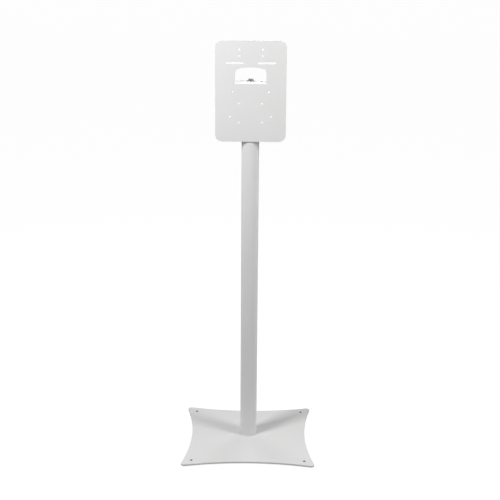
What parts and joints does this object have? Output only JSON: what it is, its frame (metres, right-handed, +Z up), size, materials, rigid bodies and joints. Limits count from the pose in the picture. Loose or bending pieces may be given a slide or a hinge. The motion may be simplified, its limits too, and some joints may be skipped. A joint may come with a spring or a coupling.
{
  "type": "charger pedestal post",
  "caption": "Free-standing steel pedestal: waisted base plate on rubber feet, round column, and a turning sheet-metal head plate with slots and fixing holes for a wall charger.",
  "frame": {"origin": "on the floor, under the middle of the base plate", "axes": "+Z up along the column, -Y towards the front, which the head plate faces, +X to the right as seen from the front"},
  "size_m": [0.3924, 0.3924, 1.222],
  "materials": {
    "white_powder_coat": "satin fine-texture powder coat",
    "bare_steel": "turned, bare",
    "zinc_plated_steel": "bright zinc plating",
    "blackened_steel": "black oxide",
    "black_rubber": "matt moulded",
    "black_nylon": "matt"
  },
  "bodies": {
    "stand": {"base_plate": "white_powder_coat", "column_tube": "white_powder_coat", "column_base_plug": "bare_steel", "column_top_plug": "bare_steel", "cable_inlet_grommet": "black_rubber", "cable_outlet_grommet": "black_rubber", "friction_washer": "black_nylon", "head_bolt": "zinc_plated_steel", "head_bolt_washer": "zinc_plated_steel", "rubber_foot_front_left": "black_rubber", "foot_screw_front_left": "blackened_steel", "foot_nut_front_left": "zinc_plated_steel", "rubber_foot_front_right": "black_rubber", "foot_screw_front_right": "blackened_steel", "foot_nut_front_right": "zinc_plated_steel", "rubber_foot_rear_left": "black_rubber", "foot_screw_rear_left": "blackened_steel", "foot_nut_rear_left": "zinc_plated_steel", "rubber_foot_rear_right": "black_rubber", "foot_screw_rear_right": "blackened_steel", "foot_nut_rear_right": "zinc_plated_steel", "base_screw_front": "zinc_plated_steel", "base_screw_right": "zinc_plated_steel", "base_screw_rear": "zinc_plated_steel", "base_screw_left": "zinc_plated_steel"},
    "head": {"mounting_plate": "white_powder_coat", "earth_stud": "zinc_plated_steel", "earth_washer": "zinc_plated_steel", "earth_nut": "zinc_plated_steel"}
  },
  "joints": [
    {"name": "head_swivel", "type": "hinge", "parent": "stand", "child": "head", "pos_m": [0, 0.015, 1.1], "axis": [0, 0, 1], "range_deg": [-90, 90]}
  ]
}
